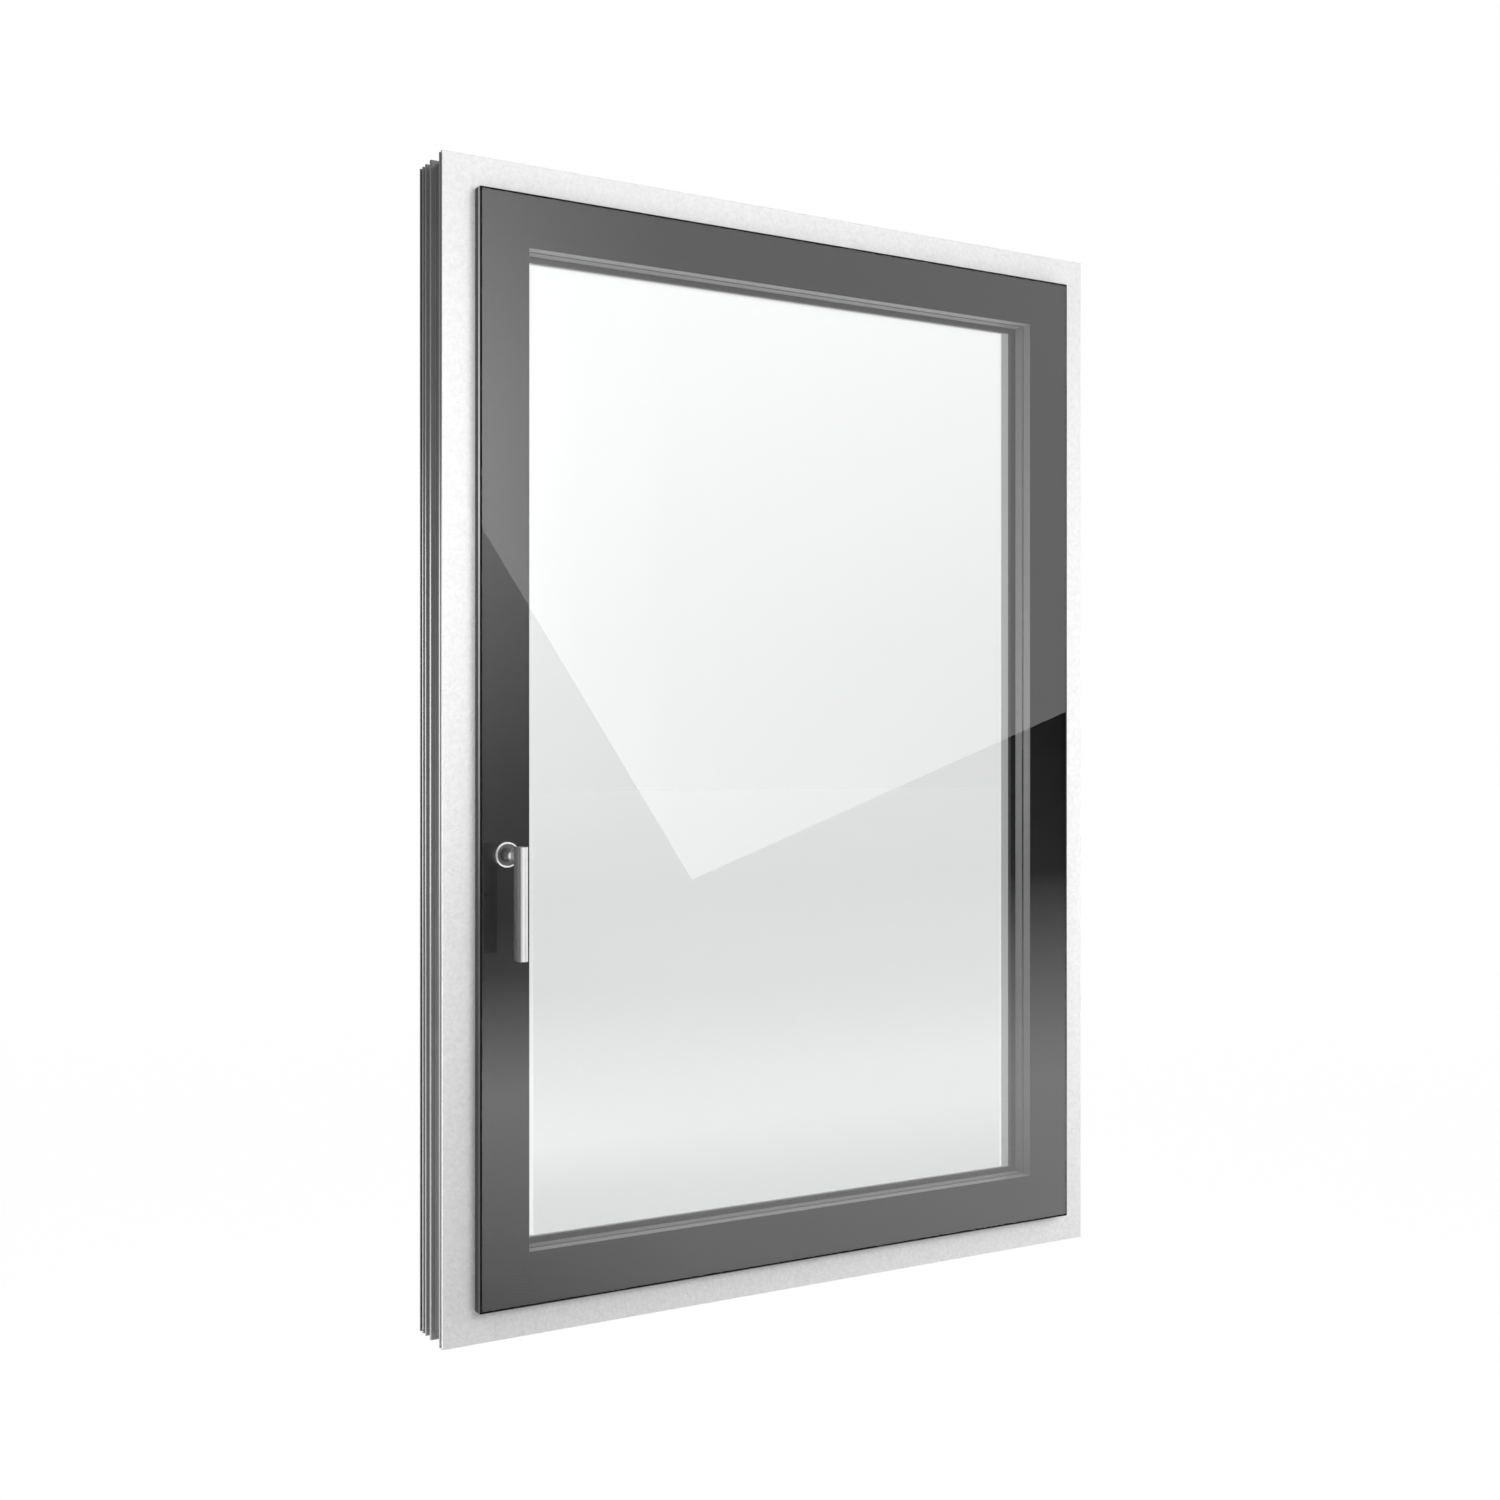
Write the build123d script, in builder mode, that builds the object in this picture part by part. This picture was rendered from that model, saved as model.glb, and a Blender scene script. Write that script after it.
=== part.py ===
from build123d import *
import os

# Casement window that opens into the room, shown closed, with triple glazing and a lever handle.
# X runs along the sill, Y points outdoors and Z points up.
# The origin is in the middle of the sill's underside, on its broad rib.

# Outer frame: sizes across its face, and through the wall from the room face outwards.
frame_width = 960.0
frame_height = 1400.0
frame_depth = 80.0
trim_thickness = 1.5
cladding_wall = 2.0
cladding_edge = 3.4
upstand_cover = 12.0
weep_slot_length = 34.0
weep_slot_height = 5.0
weep_slot_rise = 22.0
weep_slot_inset = 190.0

# Ribs round the outside of the frame, which stand in the foam joint and take the wall anchors.
face_flange = 3.0
shadow_gap = 3.1
shadow_gap_depth = 4.0
front_rib = 4.2
anchor_groove = 27.4
broad_rib = 5.0
groove_depth = 6.0
fin = 3.8
fin_gap = 6.6
rear_gap = 5.4

# Sash: margin of frame left showing round it, overlap on the frame and room for the hidden fittings.
sash_margin = 40.0
sash_overlap = 8.0
fitting_gap = 12.0
stile_width = 26.0
leaf_seal_gap = 1.2
leaf_seal_setback = 0.6
frame_seal_gap = 3.0
seal_width = 4.5
gear_groove_width = 16.0
gear_groove_depth = 6.0
gear_groove_start = 12.0
lip_depth = 22.5
lip_cover = 5.3
lip_splay = 5.0

# Glazing unit: three panes, the inner one covering the whole sash with a printed border.
pane_proud = 17.4
inner_glass = 6.0
middle_glass = 4.0
outer_glass = 6.0
cavity = 16.0
print_thickness = 0.4
border_width = 63.0
edge_clearance = 4.0
spacer_width = 8.0
glazing_gasket_thickness = 6.0
glass_bevel = 2.5
glass_bevel_depth = 0.7

# Handle: round rosette, lever with a lofted neck, and the square spindle into the gear.
handle_height = 577.0
rosette_diameter = 30.0
rosette_depth = 8.0
rosette_rim = 2.0
rosette_recess = 1.5
neck_diameter = 16.5
neck_clearance = 0.3
neck_foot_gap = 1.0
neck_flare = 10.0
grip_gap = 40.0
bar_width = 11.4
bar_thickness = 20.0
bar_crown = 4.5
bar_above_axis = 11.4
bar_below_axis = 120.6
bar_edge_radius = 1.0
spindle_side = 7.0
spindle_in_lever = 24.0
spindle_in_sash = 22.0
spindle_fit = 0.05
spindle_bore = 12.0
spindle_end_gap = 3.0

# Small bevel on the edges of the extruded profiles, and its limit as a share of a thin wall.
profile_bevel = 0.5
wall_share = 0.35

# Distances inward from the frame's outer edge.
rebate_face = sash_margin + sash_overlap
sash_face = rebate_face + fitting_gap
upstand_face = sash_face + upstand_cover
glass_rebate = sash_face + stile_width
glass_edge = glass_rebate + edge_clearance
sight_line = sash_margin + border_width
lip_edge = sight_line + lip_cover

# Depths measured outdoors from the frame's room face.
pane_front = -pane_proud
pane_back = pane_front + inner_glass
print_back = pane_back + print_thickness
middle_front = pane_back + cavity
middle_back = middle_front + middle_glass
outer_front = middle_back + cavity
outer_back = outer_front + outer_glass
lip_front = outer_back + glazing_gasket_thickness
lip_back = lip_front + lip_depth
upstand_front = lip_back + frame_seal_gap
cladding_front = frame_depth - cladding_wall
flange_back = trim_thickness + face_flange
front_rib_start = flange_back + shadow_gap
broad_rib_start = front_rib_start + front_rib + anchor_groove
outer_fin_start = frame_depth - cladding_edge - rear_gap - fin
inner_fin_start = outer_fin_start - fin_gap - fin
origin_depth = broad_rib_start + broad_rib / 2
edge_bevel = min(profile_bevel, wall_share * trim_thickness, wall_share * cladding_wall)

# The handle turns in the middle of the printed border.
handle_x = -frame_width / 2 + sash_margin + border_width / 2

SIDES = ("sill", "head", "left", "right")


def side_frame(side):
    """Outer edge's midpoint, inward direction and length of one side of the window."""
    half_width = frame_width / 2
    half_height = frame_height / 2
    if side == "sill":
        return (0, 0, 0), Vector(0, 0, 1), frame_width
    if side == "head":
        return (0, 0, frame_height), Vector(0, 0, -1), frame_width
    if side == "left":
        return (-half_width, 0, half_height), Vector(1, 0, 0), frame_height
    return (half_width, 0, half_height), Vector(-1, 0, 0), frame_height


def bar(near, far, front, back):
    """Rectangle of a profile section, by inward distance and by depth from the room face."""
    with Locations(((near + far) / 2, (front + back) / 2 - origin_depth)):
        Rectangle(far - near, back - front)


def frame_section():
    """Frame core: hollow-chamber web with ribs outside and an upstand behind the sash."""
    bar(groove_depth, rebate_face, front_rib_start, cladding_front)
    bar(0, rebate_face, trim_thickness, flange_back)
    bar(shadow_gap_depth, rebate_face, flange_back, front_rib_start)
    bar(rebate_face, upstand_face - cladding_wall, upstand_front, cladding_front)
    bar(0, groove_depth, front_rib_start, front_rib_start + front_rib)
    bar(0, groove_depth, broad_rib_start, broad_rib_start + broad_rib)
    bar(0, groove_depth, inner_fin_start, inner_fin_start + fin)
    bar(0, groove_depth, outer_fin_start, outer_fin_start + fin)


def trim_section():
    """Thin room-side face sheet of the frame."""
    bar(0, rebate_face, 0, trim_thickness)


def cladding_section():
    """Weather cladding: a face sheet with a folded outer edge and a return along the upstand."""
    bar(0, upstand_face, cladding_front, frame_depth)
    bar(0, cladding_wall, frame_depth - cladding_edge, cladding_front)
    bar(upstand_face - cladding_wall, upstand_face, upstand_front, cladding_front)


def sash_section():
    """Sash core: a leaf that laps the frame and a glass-bearing body, grooved for the locking gear."""
    gear_groove_end = gear_groove_start + gear_groove_width
    groove_floor = sash_face + gear_groove_depth
    bar(sash_margin, sash_face, print_back, -leaf_seal_gap)
    bar(sash_face, glass_rebate, print_back, gear_groove_start)
    bar(groove_floor, glass_rebate, gear_groove_start, gear_groove_end)
    bar(sash_face, glass_rebate, gear_groove_end, lip_front)


def lip_section():
    """Outer glazing lip that holds the unit from the weather side, with a splayed inner face."""
    front = lip_front - origin_depth
    back = lip_back - origin_depth
    Polygon((sash_face, front), (lip_edge, front), (lip_edge - lip_splay, back), (sash_face, back), align=None)


def mitred_member(side, draw_section):
    """One side of a surround, cut at 45 degrees through the outer corners."""
    start, inward, length = side_frame(side)
    along = inward.cross(Vector(0, 1, 0))
    reach = lip_edge + cladding_wall
    with BuildPart() as member:
        with BuildSketch(Plane(origin=start, x_dir=inward, z_dir=along)) as section:
            draw_section()
            chamfer(section.vertices(), edge_bevel)
        extrude(amount=length / 2, both=True)
        with BuildSketch(Plane(origin=start, x_dir=along, z_dir=(0, 1, 0))):
            with BuildLine():
                Polyline(
                    (-length / 2, 0),
                    (length / 2, 0),
                    (length / 2 - reach, reach),
                    (reach - length / 2, reach),
                    close=True,
                )
            make_face()
        extrude(amount=2 * frame_depth, both=True, mode=Mode.INTERSECT)
    return member.part


def sheet(edge, front, back):
    """Flat pane whose edges lie a given distance inside the frame's outer edge."""
    with BuildPart() as pane:
        with BuildSketch(face_plane(0, frame_height / 2, back)):
            Rectangle(frame_width - 2 * edge, frame_height - 2 * edge)
        extrude(amount=back - front)
    return pane.part


def ring(near, far, front, back):
    """Flat ring that runs round the whole window between two inward distances."""
    with BuildPart() as loop:
        with BuildSketch(face_plane(0, frame_height / 2, back)):
            Rectangle(frame_width - 2 * near, frame_height - 2 * near)
            Rectangle(frame_width - 2 * far, frame_height - 2 * far, mode=Mode.SUBTRACT)
        extrude(amount=back - front)
    return loop.part


def face_plane(x, z, depth):
    """Plane parallel to the window's face, seen from the room, at a depth from the room face."""
    return Plane(origin=(x, depth - origin_depth, z), x_dir=(1, 0, 0), z_dir=(0, -1, 0))


def handle_plane(proud):
    """Plane square to the handle's axis, a given distance into the room from the glass."""
    return face_plane(handle_x, handle_height, pane_front - proud)


def save(solid, label):
    """Name a finished piece and write it to its own file."""
    solid.label = label
    export_step(solid, f"parts/{label}.step")


os.makedirs("parts", exist_ok=True)

# Frame core, its room trim and the glazing lip of the sash, each of four mitred lengths.
frame_names = {
    "sill": "frame_sill",
    "head": "frame_head",
    "left": "frame_left_jamb",
    "right": "frame_right_jamb",
}
for side in SIDES:
    save(mitred_member(side, frame_section), frame_names[side])
    save(mitred_member(side, trim_section), f"room_trim_{side}")
    save(mitred_member(side, lip_section), f"glazing_lip_{side}")

# Weather cladding, with two weep slots that drain the rebate through the sill's face.
with BuildPart() as sill_cladding:
    add(mitred_member("sill", cladding_section))
    with BuildSketch(face_plane(0, weep_slot_rise, cladding_front)):
        with GridLocations(frame_width - 2 * weep_slot_inset, 0, 2, 1):
            SlotOverall(weep_slot_length, weep_slot_height)
    extrude(amount=-cladding_wall, mode=Mode.SUBTRACT)
save(sill_cladding.part, "weather_cladding_sill")
for side in ("head", "left", "right"):
    save(mitred_member(side, cladding_section), f"weather_cladding_{side}")

# Sash rails and the hinge stile.
save(mitred_member("sill", sash_section), "sash_bottom_rail")
save(mitred_member("head", sash_section), "sash_top_rail")
save(mitred_member("right", sash_section), "sash_right_stile")

# Handle stile of the sash, bored for the spindle.
with BuildPart() as handle_stile:
    add(mitred_member("left", sash_section))
    with BuildSketch(face_plane(handle_x, handle_height, print_back)):
        Circle(spindle_bore / 2)
    extrude(amount=-(spindle_in_sash + spindle_end_gap), mode=Mode.SUBTRACT)
save(handle_stile.part, "sash_left_stile")

# Inner pane: covers the sash to its edge, bevelled round the front and drilled for the spindle.
with BuildPart() as inner_pane:
    add(sheet(sash_margin, pane_front, pane_back))
    front_face = inner_pane.faces().sort_by(Axis.Y)[0]
    chamfer(front_face.edges(), length=glass_bevel, length2=glass_bevel_depth, reference=front_face)
    with BuildSketch(handle_plane(0)):
        Circle(spindle_bore / 2)
    extrude(amount=-inner_glass, mode=Mode.SUBTRACT)
save(inner_pane.part, "inner_pane")

# Printed border on the back of the inner pane.
with BuildPart() as border_print:
    add(ring(sash_margin, sight_line, pane_back, print_back))
    with BuildSketch(face_plane(handle_x, handle_height, pane_back)):
        Circle(spindle_bore / 2)
    extrude(amount=-print_thickness, mode=Mode.SUBTRACT)
save(border_print.part, "border_print")

# Middle and outer panes, held apart by spacers that end flush with the printed border.
spacer_edge = sight_line - spacer_width
save(sheet(glass_edge, middle_front, middle_back), "middle_pane")
save(sheet(glass_edge, outer_front, outer_back), "outer_pane")
save(ring(spacer_edge, sight_line, print_back, middle_front), "inner_spacer")
save(ring(spacer_edge, sight_line, middle_back, outer_front), "outer_spacer")

# Seals: under the glazing lip, under the sash's leaf and on the frame's upstand.
leaf_seal_near = sash_margin + leaf_seal_setback
frame_seal_near = sash_face + (upstand_cover - seal_width) / 2
save(ring(glass_edge, lip_edge, outer_back, lip_front), "glazing_gasket")
save(ring(leaf_seal_near, leaf_seal_near + seal_width, -leaf_seal_gap, 0), "sash_seal")
save(ring(frame_seal_near, frame_seal_near + seal_width, lip_back, upstand_front), "frame_seal")

# Rosette: a turned disc with a raised rim, bored as the bearing of the lever's neck.
with BuildPart() as handle_rosette:
    with BuildSketch(handle_plane(0)):
        Circle(rosette_diameter / 2)
    extrude(amount=rosette_depth)
    with BuildSketch(handle_plane(rosette_depth)):
        Circle(rosette_diameter / 2 - rosette_rim)
    extrude(amount=-rosette_recess, mode=Mode.SUBTRACT)
    with BuildSketch(handle_plane(0)):
        Circle(neck_diameter / 2 + neck_clearance)
    extrude(amount=rosette_depth, mode=Mode.SUBTRACT)
    rim_edges = handle_rosette.edges().filter_by(GeomType.CIRCLE).group_by(Axis.Y)[0]
    chamfer(rim_edges.sort_by(SortBy.RADIUS)[-1], rosette_rim / 2)
save(handle_rosette.part, "handle_rosette")

# Lever: round neck that flares into a straight bar with a rounded front.
bar_back = pane_front - grip_gap - origin_depth
bar_front = bar_back - bar_thickness
with BuildPart() as handle_lever:
    with BuildSketch(Plane.XY.offset(handle_height + bar_above_axis)) as bar_section:
        with BuildLine():
            left = handle_x - bar_width / 2
            right = handle_x + bar_width / 2
            shoulder = bar_front + bar_crown
            Polyline((left, shoulder), (left, bar_back), (right, bar_back), (right, shoulder))
            ThreePointArc((left, shoulder), (handle_x, bar_front), (right, shoulder))
        make_face()
        fillet(bar_section.vertices(), bar_edge_radius)
    extrude(amount=-(bar_above_axis + bar_below_axis))
    end_faces = handle_lever.faces().filter_by(Axis.Z)
    chamfer(end_faces.edges(), bar_edge_radius / 2)
    with BuildSketch(handle_plane(grip_gap - neck_flare)):
        Circle(neck_diameter / 2)
    with BuildSketch(handle_plane(grip_gap + bar_edge_radius)):
        RectangleRounded(bar_width - bar_edge_radius, 2 * (bar_above_axis - bar_edge_radius), bar_edge_radius)
    loft()
    with BuildSketch(handle_plane(neck_foot_gap)):
        Circle(neck_diameter / 2)
    extrude(amount=grip_gap - neck_flare - neck_foot_gap)
    with BuildSketch(handle_plane(neck_foot_gap)):
        Rectangle(spindle_side + 2 * spindle_fit, spindle_side + 2 * spindle_fit)
    extrude(amount=spindle_in_lever, mode=Mode.SUBTRACT)
save(handle_lever.part, "handle_lever")

# Square spindle, seated in the lever and reaching into the bored stile.
with BuildPart() as handle_spindle:
    with BuildSketch(face_plane(handle_x, handle_height, print_back + spindle_in_sash)):
        Rectangle(spindle_side, spindle_side)
    extrude(amount=print_back + spindle_in_sash - pane_front + neck_foot_gap + spindle_in_lever)
save(handle_spindle.part, "handle_spindle")
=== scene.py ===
import math

import bmesh
import bpy
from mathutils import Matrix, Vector


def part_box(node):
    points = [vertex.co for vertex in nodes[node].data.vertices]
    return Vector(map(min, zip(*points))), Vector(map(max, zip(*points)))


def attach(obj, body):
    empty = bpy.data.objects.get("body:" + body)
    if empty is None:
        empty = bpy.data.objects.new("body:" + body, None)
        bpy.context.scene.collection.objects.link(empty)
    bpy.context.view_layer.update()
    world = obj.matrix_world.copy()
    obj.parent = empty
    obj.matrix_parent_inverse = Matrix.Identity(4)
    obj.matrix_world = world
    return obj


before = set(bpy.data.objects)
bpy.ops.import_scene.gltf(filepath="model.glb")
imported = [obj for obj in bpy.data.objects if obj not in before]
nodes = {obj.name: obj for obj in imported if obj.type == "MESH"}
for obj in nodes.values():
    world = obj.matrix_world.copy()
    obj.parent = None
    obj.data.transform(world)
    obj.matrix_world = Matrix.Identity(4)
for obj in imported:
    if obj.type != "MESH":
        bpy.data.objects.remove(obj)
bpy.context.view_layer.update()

# The view: a level camera in the room, to the left of the window and at half its height.
# It is turned towards the window, so upright edges stay upright and level ones run to the right.
camera_left = 1.170
camera_to_face = 1.941
camera_turn = math.radians(29.6)
camera_lens = 41.76
sensor_width = 36.0
room_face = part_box("room_trim_left")[0].y
window_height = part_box("frame_left_jamb")[1].z

camera = bpy.data.objects.new("camera", bpy.data.cameras.new("camera"))
camera.data.lens = camera_lens
camera.data.sensor_width = sensor_width
camera.location = (-camera_left, room_face - camera_to_face, window_height / 2)
camera.rotation_euler = (math.pi / 2, 0, -camera_turn)
bpy.context.scene.collection.objects.link(camera)
bpy.context.scene.camera = camera


# Frame core: four lengths of extruded dark grey profile, mitred and welded at the corners.
# The die leaves fine lines along each length, and the faces towards the room are painted paler low
# down, as painted light that fades upwards.
class Socket:
    """One output of a finish's nodes; arithmetic with it adds Math nodes."""

    def __init__(self, tree, output=None):
        self.tree = tree
        self.output = output

    def node(self, kind, settings=(), inputs=(), output=0):
        """Add a node: first its settings, a ramp's stops among them, then its sockets' values or links."""
        added = self.tree.nodes.new(kind)
        for name, value in dict(settings).items():
            if name == "stops":
                stops = added.color_ramp.elements
                stops[0].position = value[0][0]
                stops[1].position = value[-1][0]
                for spot, _ in value[1:-1]:
                    stops.new(spot)
                for stop, (_, level) in zip(stops, value):
                    stop.color = (level, level, level, 1)
            else:
                setattr(added, name, value)
        for name, value in dict(inputs).items():
            if isinstance(value, Socket):
                self.tree.links.new(value.output, added.inputs[name])
            else:
                added.inputs[name].default_value = value
        return Socket(self.tree, added.outputs[output]) if added.outputs else None

    def math(self, operation, first, second=0.0):
        """Math node of numbers or sockets."""
        return self.node("ShaderNodeMath", {"operation": operation}, {0: first, 1: second})

    def __add__(self, other):
        return self.math("ADD", self, other)

    def __sub__(self, other):
        return self.math("SUBTRACT", self, other)

    def __rsub__(self, other):
        return self.math("SUBTRACT", other, self)

    def __mul__(self, other):
        return self.math("MULTIPLY", self, other)

    def __truediv__(self, other):
        return self.math("DIVIDE", self, other)

    def __rtruediv__(self, other):
        return self.math("DIVIDE", other, self)

    def __gt__(self, other):
        return self.math("GREATER_THAN", self, other)

    def __lt__(self, other):
        return self.math("LESS_THAN", self, other)

    def __abs__(self):
        return self.math("ABSOLUTE", self)

    __radd__ = __add__
    __rmul__ = __mul__


def start_finish(name):
    """New material, and the place on its surface in metres in the window's own frame."""
    material = bpy.data.materials.new(name)
    material.use_nodes = True
    material.node_tree.nodes.clear()
    return material, Socket(material.node_tree).node("ShaderNodeTexCoord", output="Object")


def end_finish(shader):
    """Join a finished shader to its material."""
    shader.node("ShaderNodeOutputMaterial", {}, {"Surface": shader})


def surface(place, **sockets):
    """Principled shader; its sockets are named with underscores for spaces."""
    inputs = {name.replace("_", " "): value for name, value in sockets.items()}
    return place.node("ShaderNodeBsdfPrincipled", {}, inputs)


def along(vector, axis):
    """One coordinate of a place or a direction."""
    return vector.node("ShaderNodeSeparateXYZ", {}, {"Vector": vector}, output=axis)


def facing(place):
    """Direction that the surface faces."""
    return place.node("ShaderNodeNewGeometry", output="Normal")


def grain(place, size, detail):
    """Soft noise from 0 to 1 whose blotches have this size, or these along X, Y and Z, in metres."""
    lengths = (size, size, size) if isinstance(size, float) else size
    stretched = place.node("ShaderNodeVectorMath", {"operation": "DIVIDE"}, {0: place, 1: lengths})
    return place.node("ShaderNodeTexNoise", {}, {"Vector": stretched, "Scale": 1.0, "Detail": detail})


def between(factor, first, second):
    """Colour between two colours, by a factor from 0 to 1."""
    return factor.node("ShaderNodeMix", {"data_type": "RGBA"}, {0: factor, 6: first, 7: second}, output=2)


def relief(height, depth):
    """Normal of a surface raised by a height from 0 to 1 times this depth in metres."""
    return height.node("ShaderNodeBump", {}, {"Height": height, "Distance": depth, "Strength": 1.0})


def grey(level, warmth=0.0):
    """Grey of this level, a little warmer or colder."""
    return (level * (1 + warmth), level, level * (1 - warmth), 1.0)


def dress(material, *names):
    """Give CAD nodes this material alone."""
    for name in names:
        nodes[name].data.materials.clear()
        nodes[name].data.materials.append(material)


mostly = 0.5
die_line_width = 0.0011
die_line_length = 0.6
die_line_share = 0.55
profile_cloud_size = 0.05
satin_spread = 0.1
# Painted light on the frame: faces towards the room are coloured paler low down, fading upwards.
painted_light_full_height = 0.2
painted_light_thin_height = 0.9
painted_light_thin_share = 0.3


def extruded_finish(name, length_axis, dark, pale, roughness, die_line_depth, painted_light_gain=1.0):
    """Extruded plastic: die lines along the length, cloudy colour, uneven satin, painted light towards the
    room.
    """
    material, place = start_finish(name)
    line_size = [die_line_width, die_line_width, die_line_width]
    line_size[length_axis] = die_line_length
    lines = grain(place, line_size, detail=3.0)
    clouds = grain(place, profile_cloud_size, detail=3.0)
    tone = lines * die_line_share + clouds * (1 - die_line_share)
    plain_tone = between(tone, grey(dark), grey(pale))
    painted_lit_tone = between(tone, grey(dark * painted_light_gain), grey(pale * painted_light_gain))
    # Painted light: faces towards the room get a paler copy of the tone, most of all low down.
    towards_room = along(facing(place), "Y") < -mostly
    painted_shading = place.node("ShaderNodeMapRange", {}, {
        "Value": along(place, "Z"),
        "From Min": painted_light_full_height,
        "From Max": painted_light_thin_height,
        "To Min": 1.0,
        "To Max": painted_light_thin_share,
    })
    end_finish(surface(
        place,
        Base_Color=between(towards_room * painted_shading, plain_tone, painted_lit_tone),
        Roughness=roughness - satin_spread / 2 + satin_spread * tone,
        Normal=relief(lines, die_line_depth),
    ))
    return material


along_x = 0
along_z = 2
frame_look = {"dark": 0.085, "pale": 0.125, "roughness": 0.24, "die_line_depth": 0.00004, "painted_light_gain": 3.4}
dress(extruded_finish("frame_profile_level", along_x, **frame_look), "frame_sill", "frame_head")
dress(
    extruded_finish("frame_profile_upright", along_z, **frame_look),
    "frame_left_jamb",
    "frame_right_jamb",
)

# Room trim: a thin white face sheet on the frame, powder coated with a fine hammered texture.
# The coat flows into shallow blisters a few millimetres across, with smaller ones between.
blister_size = 0.005
pimple_size = 0.002
blister_share = 0.6
coat_depth = 0.0012
# Painted shade: the hollows of the texture are coloured darker than the crests.
hollow_painted_shade = grey(0.72)
coat_crest = grey(0.98)
white_coat, place = start_finish("white_textured_coat")
blisters = grain(place, blister_size, detail=1.0)
pimples = grain(place, pimple_size, detail=1.0)
coat_height = blisters * blister_share + pimples * (1 - blister_share)
end_finish(surface(
    place,
    Base_Color=between(coat_height, hollow_painted_shade, coat_crest),
    Roughness=0.36 + 0.14 * coat_height,
    Normal=relief(coat_height, coat_depth),
))
dress(white_coat, "room_trim_sill", "room_trim_head", "room_trim_left", "room_trim_right")

# Weather cladding and glazing lip: aluminium strips with a satin coat, clipped on the profiles,
# dark grey on the frame and light grey on the sash. The coat has a faint orange peel, and rain
# dulls it in soft streaks.
peel_size = 0.0009
peel_depth = 0.00003
streak_size = (0.012, 0.012, 0.3)
dark_warmth = -0.006
pale_warmth = -0.004


def coated_finish(name, dark, pale):
    """Satin coat with orange peel, and rain streaks between two greys that are a little cold."""
    material, place = start_finish(name)
    streaks = grain(place, streak_size, detail=3.0)
    end_finish(surface(
        place,
        Base_Color=between(streaks, grey(dark, dark_warmth), grey(pale, pale_warmth)),
        Roughness=0.36 + 0.16 * streaks,
        Normal=relief(grain(place, peel_size, detail=1.0), peel_depth),
    ))
    return material


dark_coat = coated_finish("dark_grey_coat", dark=0.06, pale=0.085)
light_coat = coated_finish("light_grey_coat", dark=0.58, pale=0.66)
for side in ("sill", "head", "left", "right"):
    dress(dark_coat, f"weather_cladding_{side}")
    dress(light_coat, f"glazing_lip_{side}")

# Sash core: near-black extruded profile, mitred and welded, that laps over the frame.
# Only its narrow edge shows from the room, so it is left plain, with the lines of the die.
sash_look = {"dark": 0.02, "pale": 0.03, "roughness": 0.5, "die_line_depth": 0.00003}
dress(extruded_finish("sash_profile_level", along_x, **sash_look), "sash_bottom_rail", "sash_top_rail")
dress(extruded_finish("sash_profile_upright", along_z, **sash_look), "sash_left_stile", "sash_right_stile")

# Seals: soft black rubber, extruded and pressed into grooves round the sash and the frame.
# The skin is matt, with a bloom that greys it here and there.
bloom_size = 0.01
rubber_skin_size = 0.0004
rubber_skin_depth = 0.00004
rubber_black = grey(0.011)
rubber_bloomed = grey(0.022)
rubber, place = start_finish("black_rubber")
bloom = grain(place, bloom_size, detail=4.0)
end_finish(surface(
    place,
    Base_Color=between(bloom, rubber_black, rubber_bloomed),
    Roughness=0.62 + 0.2 * bloom,
    Normal=relief(grain(place, rubber_skin_size, detail=1.0), rubber_skin_depth),
))
dress(rubber, "glazing_gasket", "sash_seal", "frame_seal")

# Border print: black enamel fired on the back of the inner pane, so it shows through the glass.
# The firing leaves it very even, with the faintest cloud.
enamel_cloud_size = 0.03
enamel_black = grey(0.006)
enamel_pale = grey(0.01)
enamel, place = start_finish("black_enamel")
enamel_cloud = grain(place, enamel_cloud_size, detail=3.0)
end_finish(surface(
    place,
    Base_Color=between(enamel_cloud, enamel_black, enamel_pale),
    Roughness=0.42 + 0.1 * enamel_cloud,
    Specular_IOR_Level=0.0,
))
dress(enamel, "border_print")

# Panes: clear float glass with ground edges; the inner one covers the whole sash and is bevelled.
# The print swallows what the second face would mirror, so the border mirrors less than the clear
# part and the bevel looks black. The ground edges are painted pale in the upper part of the pane
# and dark below, as painted light.
white = grey(1.0)
glass_index = 1.5
middle_pane_index = 1.06
second_face_share = 0.55
glass_clear = (0.9545, 0.9565, 0.9555, 1.0)
flat_face = 0.99
ground_size = 0.0006
ground_depth = 0.00004
shaded_edge = ((0.05, 0.056, 0.053, 1.0), (0.08, 0.086, 0.083, 1.0))
lit_edge = ((0.5, 0.54, 0.53, 1.0), (0.64, 0.68, 0.67, 1.0))
edge_glow_by_height = [(0.36, 0.0), (0.72, 1.0), (0.84, 0.85), (0.97, 0.55)]


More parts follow.
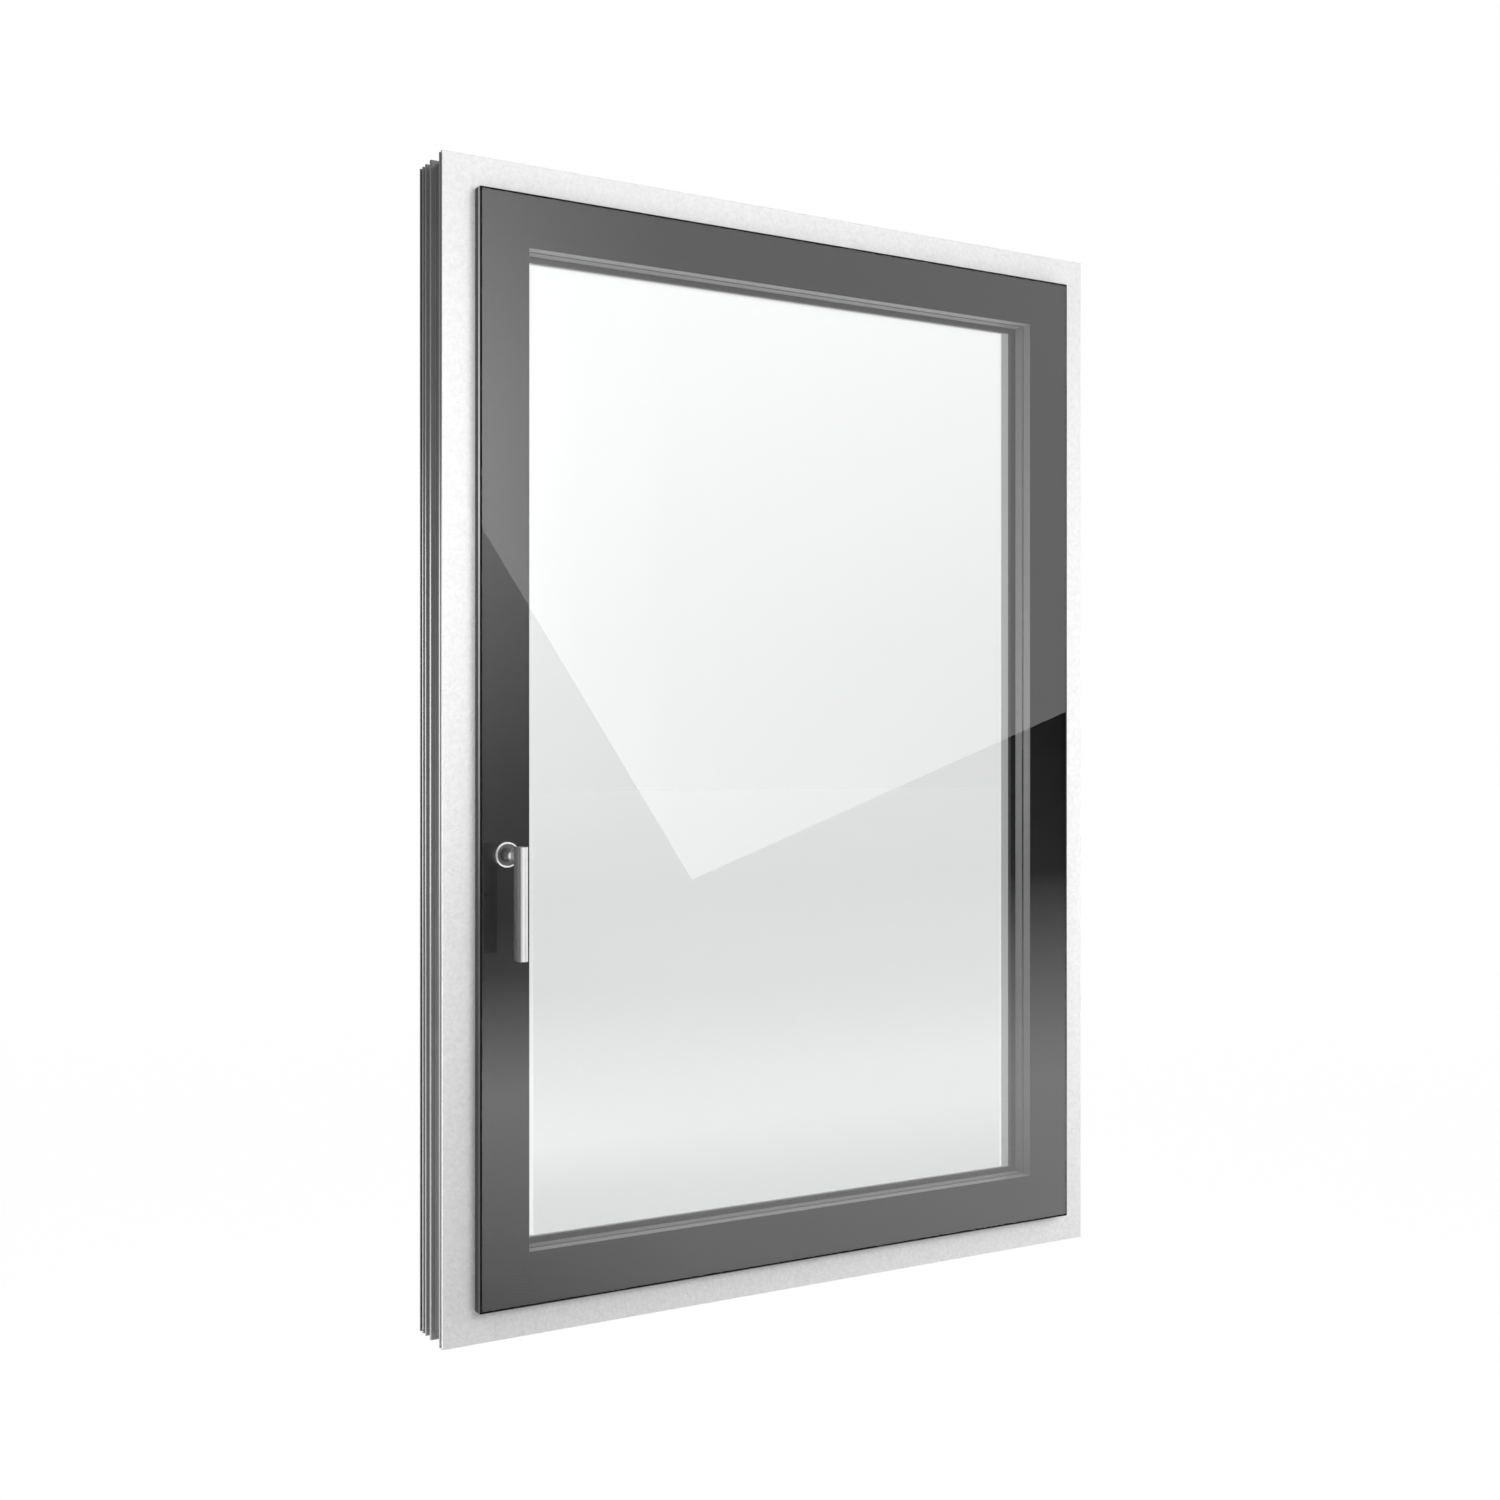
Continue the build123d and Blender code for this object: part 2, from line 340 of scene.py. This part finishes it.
def glass_finish(name, index, mirror_side, clear_part=None):
    """Thin clear glass that mirrors on one side, -1 for the room's and 1 for the weather's."""
    material, place = start_finish(name)
    across = along(facing(place), "Y")
    x = along(place, "X")
    z = along(place, "Z")
    front = 1 - place.node("ShaderNodeNewGeometry", output="Backfacing")
    mirror = place.node("ShaderNodeFresnel", {}, {"IOR": index}) * front * (across * mirror_side > mostly)
    if clear_part is not None:
        left, right, foot, top = clear_part
        mirror = mirror * (1 + second_face_share * (x > left) * (x < right) * (z > foot) * (z < top))
    bending = {"Color": glass_clear, "Roughness": 0.0, "IOR": glass_index}
    bent = place.node("ShaderNodeBsdfRefraction", {}, bending)
    straight = place.node("ShaderNodeBsdfTransparent", {}, {"Color": glass_clear})
    lamp_ray = place.node("ShaderNodeLightPath", output="Is Shadow Ray")
    lit_ray = place.node("ShaderNodeLightPath", output="Is Diffuse Ray")
    clear = place.node("ShaderNodeMixShader", {}, {0: lamp_ray + lit_ray, 1: bent, 2: straight})
    polish = place.node("ShaderNodeBsdfGlossy", {}, {"Color": white, "Roughness": 0.0})
    face = place.node("ShaderNodeMixShader", {}, {0: mirror, 1: clear, 2: polish})
    ground = grain(place, ground_size, detail=2.0)
    bevel = surface(
        place,
        Base_Color=between(ground, enamel_black, enamel_pale),
        Roughness=0.4,
        Specular_IOR_Level=0.05,
    )
    # Painted light: the ground edges are coloured pale in the upper part of the pane and dark below.
    edge_light_share = place.node("ShaderNodeValToRGB", {"stops": edge_glow_by_height}, {"Fac": z / window_height})
    edge = surface(
        place,
        Base_Color=between(edge_light_share, between(ground, *shaded_edge), between(ground, *lit_edge)),
        Roughness=0.3 + 0.2 * ground,
        Normal=relief(ground, ground_depth),
    )
    face = place.node("ShaderNodeMixShader", {}, {0: abs(across) < flat_face, 1: face, 2: bevel})
    end_finish(place.node("ShaderNodeMixShader", {}, {0: abs(across) < mostly, 1: face, 2: edge}))
    return material


room_side = -1
weather_side = 1
print_width = 0.063
far_reveal = 0.12
level_reveal = 0.085
border_low, border_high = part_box("border_print")
clear_opening = (
    border_low.x + print_width,
    border_high.x - far_reveal,
    border_low.z + level_reveal,
    border_high.z - level_reveal,
)
dress(glass_finish("inner_glass", glass_index, room_side, clear_opening), "inner_pane")
dress(glass_finish("middle_glass", middle_pane_index, room_side), "middle_pane")
dress(glass_finish("outer_glass", glass_index, weather_side), "outer_pane")

# Spacers: grey warm-edge bars between the panes, filled with drying agent and ridged lengthwise.
# Two rows of pin holes let the gas reach it. Painted shade darkens the upright bars towards
# their ends and the bottom bars all along.
pin_pitch = 0.0032
pin_radius = 0.00035
pin_row_gap = 0.006
ridge_size = (0.4, 0.0012, 0.4)
ridge_depth = 0.00008
bar_cloud_size = 0.02
bar_dark = grey(0.36)
bar_pale = grey(0.43)
spacer_shade_dark = grey(0.02)
pin_dark = grey(0.05)
# Painted shade: the upright bars darken towards their ends and the bottom bars all along.
upright_shade_by_height = [(0.07, 0.9), (0.25, 0.65), (0.43, 0.1), (0.5, 0.0), (0.9, 0.55)]
bottom_shade = 0.42
spacer_bar, place = start_finish("grey_spacer_bar")
upright = abs(along(facing(place), "X")) > mostly
run_x = along(place, "X")
run_z = along(place, "Z")
run = upright * run_z + (1 - upright) * run_x
along_pin = run.math("PINGPONG", run, pin_pitch / 2)
across_pin = run.math("PINGPONG", along(place, "Y"), pin_row_gap / 2)
pin_hole = run.math("SQRT", along_pin * along_pin + across_pin * across_pin) < pin_radius
bar_cloud = grain(place, bar_cloud_size, detail=2.0)
end_shade = place.node("ShaderNodeValToRGB", {"stops": upright_shade_by_height}, {"Fac": run_z / window_height})
painted_shading = upright * end_shade + (1 - upright) * bottom_shade * (run_z < window_height / 2)
shaded_bar = between(painted_shading, between(bar_cloud, bar_dark, bar_pale), spacer_shade_dark)
end_finish(surface(
    place,
    Base_Color=between(pin_hole, shaded_bar, pin_dark),
    Roughness=0.42 + 0.12 * bar_cloud,
    Normal=relief(grain(place, ridge_size, detail=1.0), ridge_depth),
))
dress(spacer_bar, "inner_spacer", "outer_spacer")

# Butyl beads: the black sealant squeezed out where each spacer meets a pane.
# It shows as a hair line round the glass, drawn here as a thin ring of rounded section.
bead_size = 0.00045
bead_sides = 8
spacer_bar_width = 0.008


def bead_ring(name, spacer, glass_face):
    """Ring of quarter-round bead in the corner between a spacer and a pane's face at this depth."""
    low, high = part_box(spacer)
    towards_spacer = math.copysign(1, (low.y + high.y) / 2 - glass_face)
    corners = [
        (low.x + spacer_bar_width, low.z + spacer_bar_width, 1, 1),
        (high.x - spacer_bar_width, low.z + spacer_bar_width, -1, 1),
        (high.x - spacer_bar_width, high.z - spacer_bar_width, -1, -1),
        (low.x + spacer_bar_width, high.z - spacer_bar_width, 1, -1),
    ]
    mesh = bmesh.new()
    sections = []
    for x, z, inward_x, inward_z in corners:
        section = [mesh.verts.new((x, glass_face, z))]
        for step in range(bead_sides + 1):
            turn = math.pi / 2 * step / bead_sides
            reach = bead_size * math.cos(turn)
            rise = bead_size * math.sin(turn) * towards_spacer
            section.append(mesh.verts.new((x + inward_x * reach, glass_face + rise, z + inward_z * reach)))
        sections.append(section)
    for one, two in zip(sections, sections[1:] + sections[:1]):
        for first, second in zip(range(len(one)), [*range(1, len(one)), 0]):
            mesh.faces.new((one[first], one[second], two[second], two[first]))
    bmesh.ops.recalc_face_normals(mesh, faces=mesh.faces)
    data = bpy.data.meshes.new(name)
    mesh.to_mesh(data)
    mesh.free()
    bead = bpy.data.objects.new(name, data)
    bpy.context.scene.collection.objects.link(bead)
    bead.data.materials.append(rubber)
    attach(bead, "window")


for spacer in ("inner_spacer", "outer_spacer"):
    low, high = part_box(spacer)
    bead_ring(f"{spacer}_room_bead", spacer, low.y)
    bead_ring(f"{spacer}_weather_bead", spacer, high.y)

# Lever: cast aluminium, brushed along the bar's front and satin anodised.
# The neck and the bar's left side are coloured dark as painted shade, and the start of the flare and
# the bar's right edge pale as painted highlights. The glass shows only a faint image of it, so most
# mirrored rays pass through.
flare_start = 0.028
flare_middle = 0.0345
brush_size = (0.0005, 0.0005, 0.03)
brush_depth = 0.00002
handling_size = (0.012, 0.012, 0.02)
brushed_dark = grey(0.54)
brushed_pale = grey(0.62)
highlight_turn = 0.42
painted_edge_highlight = grey(0.95)
shade_turn = -0.9
painted_shade_grey = grey(0.33)
painted_flare_highlight = grey(0.92)
image_loss = 0.75
glass_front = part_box("inner_pane")[0].y
satin_metal, place = start_finish("satin_anodised")
brushing = grain(place, brush_size, detail=2.0)
handling = grain(place, handling_size, detail=2.0)
sideways = along(facing(place), "X")
outwards = glass_front - along(place, "Y")
# Painted light: the flare's start and the bar's right edge are coloured pale as highlights, and the neck and
# the bar's left side dark as shade.
flare_highlight_mask = (outwards > flare_start) * (outwards < flare_middle)
painted_shade_mask = (outwards < flare_start) + (sideways < shade_turn) * (outwards > flare_middle)
bar_tone = between(sideways > highlight_turn, between(handling, brushed_dark, brushed_pale), painted_edge_highlight)
lever_metal = surface(
    place,
    Base_Color=between(flare_highlight_mask, between(painted_shade_mask, bar_tone, painted_shade_grey), painted_flare_highlight),
    Metallic=1.0,
    Roughness=0.26 + 0.08 * brushing + 0.06 * handling,
    Normal=relief(brushing, brush_depth),
)
image_ray = place.node("ShaderNodeLightPath", output="Is Glossy Ray")
see_through = place.node("ShaderNodeBsdfTransparent", {}, {"Color": white})
end_finish(place.node("ShaderNodeMixShader", {}, {0: image_loss * image_ray, 1: lever_metal, 2: see_through}))
dress(satin_metal, "handle_lever")

# Rosette: turned from the same metal, its rim smoother and much paler than the dark face inside it.
# The tool leaves fine rings round the axis.
rim_radius = 0.013
ring_pitch = 0.0004
ring_depth = 0.00002
dark_face = grey(0.1)
bright_rim = grey(0.78)
rosette_low, rosette_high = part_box("handle_rosette")
rosette_middle = (rosette_low + rosette_high) / 2
turned_metal, place = start_finish("turned_metal")
across = along(place, "X") - rosette_middle.x
up = along(place, "Z") - rosette_middle.z
radius = place.math("SQRT", across * across + up * up)
rings = radius.math("PINGPONG", radius, ring_pitch) / ring_pitch
rim = radius > rim_radius
end_finish(surface(
    place,
    Base_Color=between(rim, dark_face, bright_rim),
    Metallic=1.0,
    Roughness=0.34 - 0.14 * rim + 0.06 * rings,
    Normal=relief(rings, ring_depth),
))
dress(turned_metal, "handle_rosette")

# Spindle: square zinc-plated steel bar that carries the lever's turn through the glass to the gear.
# Almost all of it is hidden in the neck and the stile.
spangle_size = 0.002
zinc_dark = grey(0.46)
zinc_pale = grey(0.56)
plated_steel, place = start_finish("plated_steel")
spangle = grain(place, spangle_size, detail=2.0)
end_finish(surface(
    place,
    Base_Color=between(spangle, zinc_dark, zinc_pale),
    Metallic=1.0,
    Roughness=0.3 + 0.15 * spangle,
))
dress(plated_steel, "handle_spindle")

# Floor: a pale matt floor at the depth it has under a window set in a wall.
# Rays that show it to the camera or in a mirror add light up to white and leave the shadow.
floor_drop = 0.9
floor_reach = 60.0
floor_grey = grey(0.86)
floor_lift = grey(0.67)
no_lift = grey(0.0)


def sheet(name, corners):
    """Flat face of the stage through these corners."""
    data = bpy.data.meshes.new(name)
    data.from_pydata([Vector(corner) for corner in corners], [], [range(len(corners))])
    flat = bpy.data.objects.new(name, data)
    bpy.context.scene.collection.objects.link(flat)
    return flat


def seen_directly(place):
    """1 for rays that show a thing to the camera, in a mirror or through glass, and 0 for the rest."""
    camera_ray = place.node("ShaderNodeLightPath", output="Is Camera Ray")
    glossy_ray = place.node("ShaderNodeLightPath", output="Is Glossy Ray")
    glass_ray = place.node("ShaderNodeLightPath", output="Is Transmission Ray")
    return place.math("MINIMUM", camera_ray + glossy_ray + glass_ray, 1.0)


floor = sheet("floor", [
    (-floor_reach, -floor_reach, -floor_drop),
    (floor_reach, -floor_reach, -floor_drop),
    (floor_reach, floor_reach, -floor_drop),
    (-floor_reach, floor_reach, -floor_drop),
])
pale_floor, place = start_finish("pale_floor")
end_finish(surface(
    place,
    Base_Color=floor_grey,
    Roughness=0.8,
    Emission_Color=between(seen_directly(place), no_lift, floor_lift),
    Emission_Strength=1.0,
))
floor.data.materials.append(pale_floor)

# Bright board: a lit board in the room with a slanted lower edge, which shows only in mirrors.
# Its light is even where the border mirrors it, with a hot spot at its left end, and it has a
# softer panel in the middle, where the clear glass mirrors it.
board_y = -2.6
board_left = 0.5
board_right = 2.75
board_top = 4.0
lowest_x = 1.173
lowest_z = 0.324
left_foot = 1.349
right_foot = 0.894
board_peak = 6.0
even_level = 2.65
bright_panel_left = 0.68
bright_panel_right = 2.288
bright_panel_top = 2.03


def mirror_board(name, corners):
    """Sheet that shows only in mirrors; gives the place on it, for its light."""
    board = sheet(name, corners)
    board.visible_camera = False
    board.visible_diffuse = False
    board.visible_transmission = False
    board.visible_shadow = False
    light, place = start_finish(f"{name}_light")
    board.data.materials.append(light)
    return place


def levels(length, low, high, stops):
    """Grey ramp over a length from low to high, by stops of place and light level."""
    scaled = [((spot - low) / (high - low), level / board_peak) for spot, level in stops]
    return length.node("ShaderNodeValToRGB", {"stops": scaled}, {"Fac": (length - low) / (high - low)})


def blend(kind, first, second):
    """Two colours added or multiplied."""
    settings = {"data_type": "RGBA", "blend_type": kind}
    return first.node("ShaderNodeMix", settings, {0: 1.0, 6: first, 7: second}, output=2)


def glow(place, colour):
    """Let a board shine with this colour, a share of the peak level."""
    end_finish(place.node("ShaderNodeEmission", {}, {"Color": colour, "Strength": board_peak}))


place = mirror_board("bright_board", [
    (lowest_x, board_y, lowest_z),
    (board_right, board_y, right_foot),
    (board_right, board_y, board_top),
    (board_left, board_y, board_top),
    (board_left, board_y, left_foot),
])
board_x = along(place, "X")
board_z = along(place, "Z")
hot_height = levels(board_z, low=1.0, high=2.8, stops=[(1.5, 3.0), (1.7, 2.75), (2.14, 1.35), (2.6, 0.4)])
hot_reach = levels(board_x, low=0.5, high=1.3, stops=[
    (0.5, 6.0), (0.6, 5.1), (0.82, 2.2), (1.1, 0.3), (1.3, 0.0),
])
panel_reach = levels(board_x, low=0.69, high=2.4, stops=[(0.69, 1.5), (1.0, 2.05), (1.26, 2.05), (2.4, 1.1)])
panel_rise = levels(board_z, low=0.32, high=2.07, stops=[(0.32, 0.0), (1.0, 0.55), (2.07, 2.05)])
in_panel = (board_x > bright_panel_left) * (board_x < bright_panel_right) * (board_z < bright_panel_top)
board_light = between(in_panel, grey(even_level / board_peak), blend("ADD", panel_reach, panel_rise))
glow(place, blend("ADD", blend("MULTIPLY", hot_height, hot_reach), board_light))

# Fading board: stands behind the bright one, shows below its slanted edge and only in mirrors.
# It fades from the floor's light up into the dark, further at its right end than at its left, and
# again has a panel of its own for the clear glass.
fading_y = board_y - 0.05
fading_left = 0.45
fading_foot = -0.88
fading_end = 1.4
fading_panel_left = 0.7
fading_panel_right = 2.327
fading_panel_foot = -0.65
panel_fade_foot = -0.7


def rectangle(start, end, foot, top):
    """Corners of an upright board between two points of the floor plan."""
    return [(*start, foot), (*end, foot), (*end, top), (*start, top)]


place = mirror_board(
    "fading_board",
    rectangle((fading_left, fading_y), (board_right, fading_y), fading_foot, board_top),
)
board_x = along(place, "X")
board_z = along(place, "Z")
rightwards = levels(board_x, low=0.5, high=2.6, stops=[(0.5, 0.0), (1.2, 4.2), (2.6, 6.0)])
left_light = levels(board_z, low=fading_foot, high=fading_end, stops=[
    (-0.88, 1.7), (-0.25, 3.9), (0.076, 1.0), (0.239, 0.65), (0.619, 1.3), (1.2155, 3.1), (1.4, 3.3),
])
right_light = levels(board_z, low=fading_foot, high=fading_end, stops=[
    (-0.88, 3.35), (-0.385, 3.8), (-0.254, 3.4), (0.266, 0.58), (0.3, 0.3), (0.766, 0.08), (1.4, 0.05),
])
panel_left_light = levels(board_z, low=panel_fade_foot, high=fading_end, stops=[
    (-0.7, 0.0), (-0.562, 0.15), (-0.398, 2.5), (-0.124, 1.2),
    (0.013, 0.0), (0.3, 0.0), (0.619, 1.25), (1.4, 3.4),
])
panel_right_light = levels(board_z, low=panel_fade_foot, high=fading_end, stops=[
    (-0.7, 0.1), (-0.43, 1.7), (-0.268, 1.7), (-0.107, 0.8), (0.3, 0.0),
])
border_light = between(rightwards, left_light, right_light)
panel_light = between(rightwards, panel_left_light, panel_right_light)
in_panel = (board_x > fading_panel_left) * (board_x < fading_panel_right) * (board_z > fading_panel_foot)
glow(place, between(in_panel, border_light, panel_light))

# Boards for the handle: a pale one behind the camera and a dark one to the left of the window.
# Only the lever's rounded front and the neck turn far enough to mirror them.
pale_level = 1.6
dark_level = 0.15
dark_x = -2.2
place = mirror_board("pale_board", rectangle((-1.5, board_y), (0.1, board_y), foot=-0.6, top=1.4))
glow(place, grey(pale_level / board_peak))
place = mirror_board("dark_board", rectangle((dark_x, -0.8), (dark_x, 0.8), foot=-0.85, top=2.5))
glow(place, grey(dark_level / board_peak))

# Rim board: a bright strip between a dark top and a pale foot, out of doors to the left.
# The ribs along the frame's side mirror it.
rim_y = 2.0
rim_left = -2.4
rim_right = -0.7
rim_foot = -0.88
rim_top = 3.2
place = mirror_board("rim_board", rectangle((rim_left, rim_y), (rim_right, rim_y), rim_foot, rim_top))
glow(place, levels(along(place, "Z"), low=rim_foot, high=rim_top, stops=[
    (0.2, 2.2), (0.4, 3.9), (0.8, 4.8), (1.15, 4.4), (1.44, 0.95), (2.0, 0.5), (3.2, 0.4),
]))

# Lamps: soft ones in the room, before the window and to its right and left, and a low one beside
# the ribs. They don't show in mirrors, where the boards stand for them.


def soft_lamp(name, place, target, width, height, power):
    """Area lamp of this size in metres and power in watts, turned towards a target."""
    lamp = bpy.data.objects.new(name, bpy.data.lights.new(name, "AREA"))
    lamp.data.shape = "RECTANGLE"
    lamp.data.size = width
    lamp.data.size_y = height
    lamp.data.energy = power
    lamp.location = place
    lamp.rotation_euler = (Vector(target) - Vector(place)).to_track_quat("-Z", "Y").to_euler()
    lamp.visible_camera = False
    lamp.visible_glossy = False
    lamp.visible_transmission = False
    bpy.context.scene.collection.objects.link(lamp)


soft_lamp("middle_lamp", (0.1, -1.9, 1.1), target=(0.1, 0.0, 1.1), width=0.9, height=0.9, power=17.7)
soft_lamp("right_lamp", (1.1, -0.6, 0.55), target=(0.4, 0.0, 0.55), width=0.5, height=1.0, power=4.7)
soft_lamp("left_lamp", (-0.9, -0.5, 1.0), target=(-0.46, 0.0, 0.92), width=0.6, height=0.6, power=2.4)
soft_lamp("low_lamp", (-1.0, 0.1, 0.2), target=(-0.48, 0.0, 0.25), width=0.3, height=0.8, power=5.0)

# World: even daylight all round, at full strength where it shows as the white background.
# It is weaker where it only lights the window.
daylight = 0.315
world = bpy.data.worlds.new("daylight")
bpy.context.scene.world = world
world.use_nodes = True
world.node_tree.nodes.clear()
sky = Socket(world.node_tree)
sky_strength = daylight + (1 - daylight) * seen_directly(sky)
background = sky.node("ShaderNodeBackground", {}, {"Color": white, "Strength": sky_strength})
sky.node("ShaderNodeOutputWorld", {}, {"Surface": background})

bpy.context.scene.view_settings.view_transform = "Standard"
